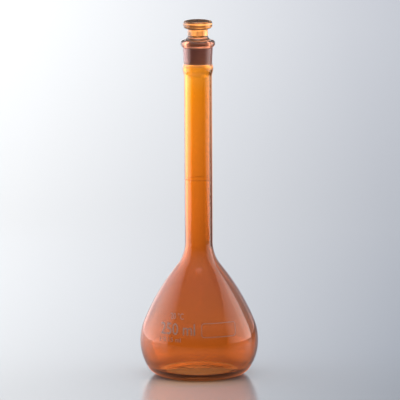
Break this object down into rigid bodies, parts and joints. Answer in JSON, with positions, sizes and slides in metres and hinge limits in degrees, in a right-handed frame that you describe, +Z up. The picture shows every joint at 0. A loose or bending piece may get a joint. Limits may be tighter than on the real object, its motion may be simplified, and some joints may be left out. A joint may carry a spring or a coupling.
{
  "type": "volumetric flask",
  "caption": "Pear-shaped amber glass flask with a long narrow neck, a ring mark and a removable ground stopper.",
  "frame": {"origin": "centre of the ring the flask stands on, in the foot plane", "axes": "+Z up along the neck; the printed side faces -Y"},
  "size_m": [0.0815, 0.0814, 0.2459],
  "materials": {
    "amber_glass": "polished, with ground faces in the socket and on the plug",
    "ring_enamel": "fired enamel"
  },
  "bodies": {
    "flask": {"vessel": "amber_glass", "graduation_ring": "ring_enamel"},
    "stopper": {"stopper": "amber_glass"}
  },
  "joints": [
    {"name": "stopper_lift", "type": "slide", "parent": "flask", "child": "stopper", "axis": [0, 0, 1], "range_m": [0, 0.05]}
  ]
}
